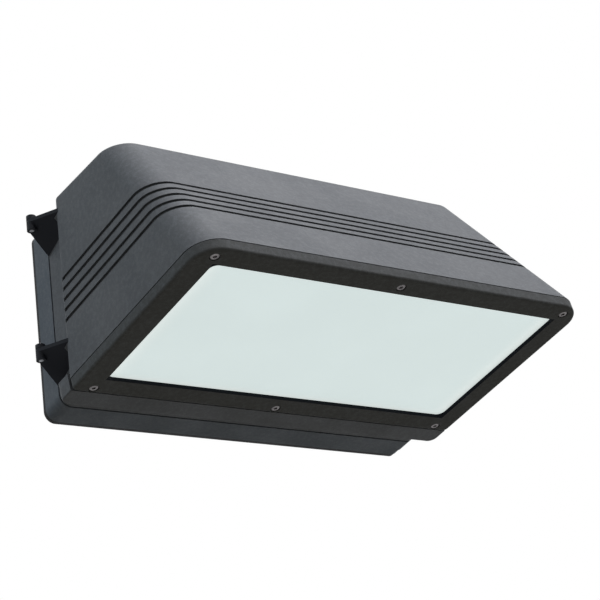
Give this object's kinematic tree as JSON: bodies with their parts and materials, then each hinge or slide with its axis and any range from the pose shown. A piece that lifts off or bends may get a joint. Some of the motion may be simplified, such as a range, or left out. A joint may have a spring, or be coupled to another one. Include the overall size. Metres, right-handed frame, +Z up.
{
  "type": "wall pack light",
  "caption": "Full-cutoff outdoor wall pack light: a flared, grooved cast housing with a framed lens facing down, hinged at its left side to a shallow back box.",
  "frame": {"origin": "on the wall, in the middle of the four wall screws", "axes": "+X to the right of someone who faces the wall, +Y into the wall, +Z up; the light stands out towards -Y"},
  "size_m": [0.382, 0.2337, 0.1676],
  "materials": {
    "powder_coat": "fine-textured dark bronze-grey powder coat on die-cast aluminium",
    "gasket_rubber": "closed-cell black silicone and neoprene",
    "zinc_steel": "zinc-plated steel screws",
    "pin_steel": "stainless steel hinge pins",
    "diffuser": "frosted pale white-green diffusing lens",
    "bare_aluminium": "mill-finish aluminium plate",
    "board_white": "white solder-masked metal-core board",
    "led_phosphor": "yellow phosphor domes",
    "reflector_white": "high-reflectance white enamel",
    "bracket_steel": "galvanised sheet steel",
    "driver_case": "light grey painted steel case",
    "terminal_nylon": "natural nylon",
    "ground_green": "green-dyed earth screw",
    "lead_insulation": "single-colour wire insulation"
  },
  "bodies": {
    "wall_box": {"back_box": "powder_coat", "wall_gasket": "gasket_rubber", "entry_grommet": "gasket_rubber", "ground_screw": "ground_green", "hinge_pin_lower": "pin_steel", "hinge_pin_upper": "pin_steel"},
    "housing": {"housing_shell": "powder_coat", "housing_seal": "gasket_rubber", "door_frame": "powder_coat", "lens": "diffuser", "lens_gasket": "gasket_rubber", "frame_screws": "zinc_steel", "mounting_plate": "bare_aluminium", "plate_screws": "zinc_steel", "led_board": "board_white", "led_chips": "led_phosphor", "reflector": "reflector_white", "driver_bracket": "bracket_steel", "driver_case": "driver_case", "driver_screws": "zinc_steel", "terminal_block": "terminal_nylon", "input_leads": "lead_insulation", "led_leads": "lead_insulation"},
    "captive_lower": {"captive_screw_lower": "zinc_steel"},
    "captive_upper": {"captive_screw_upper": "zinc_steel"}
  },
  "joints": [
    {"name": "housing_hinge", "type": "hinge", "parent": "wall_box", "child": "housing", "pos_m": [-0.18518, -0.033, 0], "axis": [-0.0725, 0, -0.9974], "range_deg": [0, 90]},
    {"name": "captive_screw_lower_slide", "type": "slide", "parent": "housing", "child": "captive_lower", "axis": [0, -1, 0], "range_m": [0, 0.009]},
    {"name": "captive_screw_upper_slide", "type": "slide", "parent": "housing", "child": "captive_upper", "axis": [0, -1, 0], "range_m": [0, 0.009]}
  ]
}
